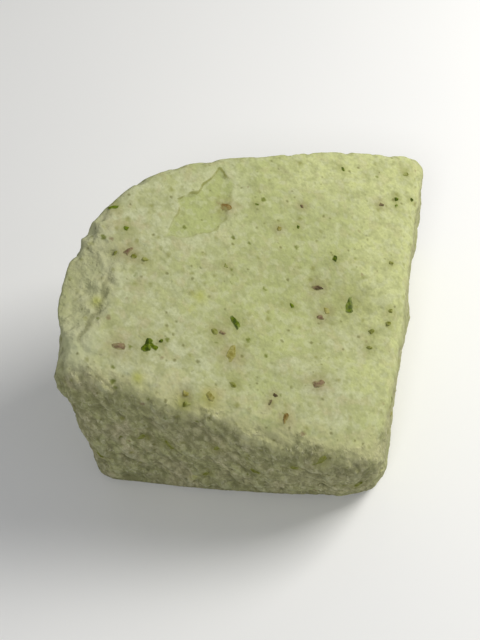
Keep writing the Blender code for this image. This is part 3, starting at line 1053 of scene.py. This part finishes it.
drawn_out = {"Vector": here, "Rotation": (0, FINE_SLANT, 0), "Scale": (FINE_STRETCH, 1, 1)}
along_streaks = here.node("Mapping", {"vector_type": "TEXTURE"}, drawn_out)
patches = cloud(here, size=8.0, detail=4.0, seed=3.0).between(0.38, 0.62)
mottle = cloud(here, size=1.6, seed=8.0).between(0.42, 0.64)
blush = cloud(here, size=1.5, seed=71.0).between(0.52, 0.66)
powder = cloud(here, size=1.4, detail=3.0, seed=21.0).between(0.42, 0.60)
strewn = cloud(here, size=1.3, detail=1.0, seed=85.0).between(0.35, 0.65)
lumps = cloud(here, size=0.8, detail=1.0, seed=51.0).between(0.48, 0.66)
dimples = cloud(here, size=0.65, detail=1.0, seed=33.0).between(0.48, 0.70)
sand = cloud(here, size=0.28, detail=1.0, seed=61.0).between(0.42, 0.62)
shades = cloud(along_streaks, size=2.6, detail=3.0, seed=91.0).between(0.36, 0.64)
warmth = cloud(along_streaks, size=2.1, detail=3.0, seed=27.0).between(0.42, 0.60)
crumbs = cloud(along_streaks, size=0.8, detail=3.0, seed=14.0).between(0.38, 0.60)
pits = cloud(along_streaks, size=0.6, seed=44.0).between(0.50, 0.70)
pits = pits * (broken_here + SCOOP_PITS * scooped_here)

sideways = cloud(here, size=0.5, seed=65.0)
upwards = cloud(here, size=0.5, seed=75.0)
warped = along_streaks + here.node("CombineXYZ", None, {0: sideways, 2: upwards})
grain_inputs = {"Vector": warped, "Scale": 1 / GRAIN_SPACING, "Smoothness": 0.4}
grain_cells = here.node("TexVoronoi", {"feature": "SMOOTH_F1"}, grain_inputs, "Distance")
grains_here = (1 - grain_cells).between(0.45, 0.85) * span(0.4, 1.0, strewn)
grain_gap_shade = grain_cells.between(0.45, 0.80)
print("patterns:", len(chalk.node_tree.nodes), "nodes")

# %% Layers on the slab's skin
bed_halo = mask(here, "into_bed").between(-2.2, -0.1) * (1 - bed_here) * mask(here, "on_top")
skin_layers = (
    (patches, 0.55, FRESH),
    (mask(here, "paler_right"), 0.9, PALER_RIGHT),
    (bloom_here, 0.5, DUST),
    (powder * span(0.15, 0.9, bloom_here) * (1 - 0.6 * bed_here), 1.0, POWDER),
    (bed_halo, 0.35, POWDER),
    (mottle, 0.35, SHADE_GREY),
    # Painted shade in the dip near the middle of the top.
    (mask(here, "dip"), 0.25, SHADE_GREY),
    (blush * span(0.3, 0.6, bloom_here), 1.0, BEIGE),
    (bed_here, 0.75, FRESH),
)
colour = paint(PALE, skin_layers)
print(len(skin_layers), "layers on the slab's skin")

# %% Layers on the broken faces
# Painted shade in the pits and painted light on the crests, from how far each point lies below its
# neighbours.
pit_painted_shade = pit_here.between(0.5, 0.95) * span(0.25, 1.0, broken_here) * (1 - 0.4 * scooped_here)
crest = (1 - pit_here).between(0.55, 0.95)
broken_layers = (
    (broken_here * (1 - 0.6 * scooped_here), 0.7, CRUMB),
    (dimples, 0.4, SHADE_GREY),
    (lumps, 0.35, POWDER),
    (sand, 0.2, SHADE_GREY),
    (broken_here, 0.6, warmth.tint(WALL_GREEN, WALL_BEIGE)),
    # Painted light on the front wall's brow and face.
    (mask(here, "wall_painted_light"), 0.7, BROW_LIGHT),
    (shades * broken_here, 0.45, SHADE_GREY),
    ((1 - crumbs) * broken_here, 0.45, SHADE_AND_PIT_GREEN),
    # Painted shade in the gaps between grains and painted light on their tops; the same grains are in the
    # bump.
    (grain_gap_shade * broken_here, 0.55, SHADE_AND_PIT_GREEN),
    (grains_here * broken_here, 0.55, GRAIN_TOP_LIGHT),
    # Painted shade in the dents that the same noise presses into the bump.
    (pits, 0.4, SHADE_AND_PIT_GREEN),
    # Painted shade in the band under the brow, and painted shadow along the foot.
    (mask(here, "wall_painted_shade"), 0.4, SHADE_AND_PIT_GREEN),
    # Powder on the corner, and painted light round the first nicks.
    (mask(here, "dust_and_nick_light"), 0.5, POWDER),
    # Painted shade in the pits, then painted light on the crests.
    (pit_painted_shade, 0.75, SHADE_AND_PIT_GREEN),
    (crest, 0.35, POWDER),
    (mask(here, "beside_ridge"), 0.3, POWDER),
    (scooped_here, 0.35, SCOOP),
)
colour = paint(colour, broken_layers)
print(len(broken_layers), "layers on the broken faces")

# %% Lines, stains and specks
# A thin olive line along the flake's rim: partly a real crack, partly painted shadow of the rim's step.
bed_rim_crack_and_shadow = line_where(here, "into_bed", level=0.13, reach=0.17, soft=0.13) * mask(here, "bed_rim")
bed_rim_crack_and_shadow = bed_rim_crack_and_shadow * cloud(here, size=1.2, seed=55.0).between(0.34, 0.54)
# Painted shadow: a thin dark line in the groove under the ridge.
ridge_groove_shadow = line_where(here, "under_top", level=0.15, reach=0.09, soft=0.07) * mask(here, "ridge")
spot_layers = (
    (bed_rim_crack_and_shadow, 0.75, OLIVE_SPECK),
    (ridge_groove_shadow, 0.55, SHADE_AND_PIT_GREEN),
    (mask(here, "green_stain"), 0.45, OLIVE_SPECK),
    (mask(here, "warm_stain"), 0.35, BROWN_SPECK),
    (mask(here, "yellow_stain"), 0.6, YELLOW_SPECK),
    (specks(here, spacing=3.4, size=0.9, chosen=0.14, seed=43.0, soft=0.9), 0.3, YELLOW_SPECK),
    (specks(here, spacing=1.1, size=0.5, chosen=0.46, seed=17.0, soft=0.9), 0.65, OLIVE_SPECK),
    (specks(here, spacing=0.8, size=0.28, chosen=0.38, seed=23.0, soft=0.7), 0.65, DARK_SPECK),
    (specks(here, spacing=1.7, size=0.4, chosen=0.20, seed=31.0, soft=0.7), 0.6, BROWN_SPECK),
    (specks(here, spacing=1.6, size=0.42, chosen=0.24, seed=2.0, soft=0.6), 0.8, GREEN_SPECK),
)
feed(chalk_shader, "Base Color", paint(colour, spot_layers))
print(len(spot_layers), "layers of lines, stains and specks")

# %% Grit and pores in the chalk
BUMP_DEPTH = 0.2
CHALK_GLOSS = 0.25

pores = specks(here, spacing=0.9, size=0.26, chosen=0.25, seed=57.0, soft=0.9)
powder_grit = cloud(here, size=0.45, detail=1.0, seed=5.0) * span(0.5, 0.8, broken_here)
broken_grit = cloud(along_streaks, size=0.4, detail=1.5, seed=12.0) * 0.6 + grains_here * 0.5
dents = pits * span(0.4, 0.2, scooped_here) + pores * 0.25
height = powder_grit + broken_grit * broken_here - dents
surface = height.node("Bump", None, {"Height": height, "Distance": BUMP_DEPTH * MM})
feed(chalk_shader, "Normal", surface)
chalk_shader.inputs["Specular IOR Level"].default_value = CHALK_GLOSS
skin.materials.append(chalk)
print("chalk:", len(chalk.node_tree.nodes), "nodes")

# %% [markdown]
# ## Bits of nut
# A chopped nut breaks into flat-sided chips. A chip could be a squashed sphere, but that looks like a
# pebble. The convex hull of a few random points has the flat sides and sharp corners of a chip. Its faces
# are then split and roughened a little, as dry nut is. All chips of a kind are one mesh. Each is sunk into
# the chunk until only its back stands about 0.1 mm proud, and powder lies round its foot.

# %% Chips
CHIP_THICK = 0.5
CHIP_POINTS = 24
CHIP_FULLER = 1.15
CHIP_SQUARER = 0.75


def lying_frame(place, normal, turn):
    """Axes for a bit that lies in the surface: its long side, its short side and outward."""
    up = Vector(normal)
    aside = Vector((0, 0, 1)) if abs(up.z) < 0.5 else Vector((0, 1, 0))
    across = aside.cross(up).normalized()
    axes = Matrix((across, up.cross(across), up)).transposed().to_4x4()
    return Matrix.Translation(place) @ axes @ Matrix.Rotation(turn, 4, "Z")


def squared(side):
    """A place from -1 to 1 pushed outwards, so that an oval fills more of its box."""
    return math.copysign(abs(side) ** CHIP_SQUARER, side)


def add_chip(bm, matrix, length, width):
    """A chip with flat sides: the hull of random points in a flat block."""
    verts = []
    for _ in range(CHIP_POINTS):
        spot = Vector(rng.gauss(0, 1) for _ in range(3)).normalized()
        spot = Vector((squared(spot.x) * length, squared(spot.y) * width, spot.z * CHIP_THICK))
        verts.append(bm.verts.new(matrix @ (spot * CHIP_FULLER / 2)))
    hull = bmesh.ops.convex_hull(bm, input=verts)
    unused = [item for item in hull["geom_interior"] if isinstance(item, bmesh.types.BMVert)]
    bmesh.ops.delete(bm, geom=unused, context="VERTS")


print("a chip is", CHIP_THICK, "mm thick")

# %% The chips of one kind
CHIP_PROUD = 0.11
CHIP_CUTS = 2
CHIP_ROUGH = 0.07
CHIP_ROUGH_SIZE = 0.4
STEEPEST = 0.3
FOOT = (-0.01, 0.07)

tree = BVHTree.FromPolygons([Vector(p) for p in shape.tolist()], [tuple(p.vertices) for p in skin.polygons])
rng = random.Random(BIT_SEED + 1)
sunk = Matrix.Translation((0, 0, CHIP_PROUD - CHIP_THICK / 2))


def stands_above(point):
    """How high a point stands above the finished skin."""
    hit, slope, _, _ = tree.find_nearest(point)
    return (point - hit).dot(slope)


def chips_of(kind):
    """One mesh of all chips of a kind, with a mask for the powder round their feet."""
    bm = bmesh.new()
    for point, normal, bit in zip(lying, facing, bits):
        if bit.kind != kind:
            continue
        normal = Vector(normal)
        hit, slope, _, _ = tree.find_nearest(Vector(point))
        slope = normal if slope.dot(normal) < STEEPEST else slope.lerp(normal, 0.5).normalized()
        add_chip(bm, lying_frame(hit, slope, math.radians(bit.turn)) @ sunk, bit.length, bit.width)
    bmesh.ops.recalc_face_normals(bm, faces=bm.faces)
    bmesh.ops.subdivide_edges(bm, edges=bm.edges, cuts=CHIP_CUTS, use_grid_fill=True)
    bm.normal_update()
    spots = np.array([vert.co for vert in bm.verts])
    for vert, rough in zip(bm.verts, noise_at(spots, CHIP_ROUGH_SIZE, octaves=2, offset=35.0)):
        vert.co += vert.normal * float(rough) * CHIP_ROUGH
    foot = 1 - smooth_step(np.array([stands_above(vert.co) for vert in bm.verts]), *FOOT)
    mesh = bpy.data.meshes.new(kind + "_bits")
    bm.to_mesh(mesh)
    bm.free()
    mesh.attributes.new("foot", "FLOAT", "POINT").data.foreach_set("value", foot.astype(np.float32))
    mesh.transform(to_metres)
    return mesh


print("chips stand", CHIP_PROUD, "mm proud")

# %% Finishes and pieces of nut
Look = namedtuple("Look", "dark light dusty")
LOOKS = {
    "kernel": Look((0.033, 0.055, 0.001, 1.0), (0.125, 0.175, 0.004, 1.0), 0.05),
    "olive": Look((0.140, 0.150, 0.018, 1.0), (0.230, 0.240, 0.060, 1.0), 0.2),
    "skin": Look((0.072, 0.048, 0.024, 1.0), (0.165, 0.120, 0.060, 1.0), 0.1),
    "dusty": Look((0.140, 0.088, 0.050, 1.0), (0.225, 0.160, 0.090, 1.0), 0.2),
    "russet": Look((0.150, 0.092, 0.018, 1.0), (0.230, 0.155, 0.045, 1.0), 0.15),
    "amber": Look((0.220, 0.195, 0.040, 1.0), (0.320, 0.295, 0.095, 1.0), 0.2),
}
CHIP_ROUGHNESS = 0.8
CHIP_GLOSS = 0.1
CHIP_BUMP = 0.04
FOOT_POWDER = 0.5


def nut_finish(kind, look):
    """Nut in two shades, with powder here and there and round its foot."""
    finish, shader, there = new_finish(kind, CHIP_ROUGHNESS)
    shader.inputs["Specular IOR Level"].default_value = CHIP_GLOSS
    shade = cloud(there, size=0.5, detail=3.0, seed=12.0).between(0.36, 0.64)
    dust = cloud(there, size=0.35, seed=15.0).between(0.46, 0.66)
    layers = ((shade, 1.0, look.light), (dust, look.dusty, PALE), (mask(there, "foot"), FOOT_POWDER, PALE))
    feed(shader, "Base Color", paint(look.dark, layers))
    rough = cloud(there, size=0.12, seed=9.0)
    feed(shader, "Normal", rough.node("Bump", None, {"Height": rough, "Distance": CHIP_BUMP * MM}))
    return finish


nut_bits = []
for kind, look in LOOKS.items():
    mesh = chips_of(kind)
    mesh.materials.append(nut_finish(kind, look))
    piece = bpy.data.objects.new(kind + "_bits", mesh)
    bpy.context.scene.collection.objects.link(piece)
    nut_bits.append(piece)
    print(kind, "bits:", len(mesh.polygons), "faces")

# %% [markdown]
# ## Hand over
# The skin stands for the whole solid, so it replaces the solid's node. All pieces ride on the one body. The
# distance from the skin to the solid is measured, because the look must not change the size or the form.

# %% Rides, slots and measures
MEASURE_EVERY = 37

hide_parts(SOLID)
for piece in (chunk, *nut_bits):
    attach(piece, "root")

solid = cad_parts[SOLID].data
solid_faces = [tuple(face.vertices) for face in solid.polygons]
solid_tree = BVHTree.FromPolygons([vertex.co for vertex in solid.vertices], solid_faces)
gaps = [solid_tree.find_nearest(vertex.co)[3] / MM for vertex in list(skin.vertices)[::MEASURE_EVERY]]
print("skin to solid: mean", round(float(np.mean(gaps)), 3), "mm, most", round(max(gaps), 2), "mm")
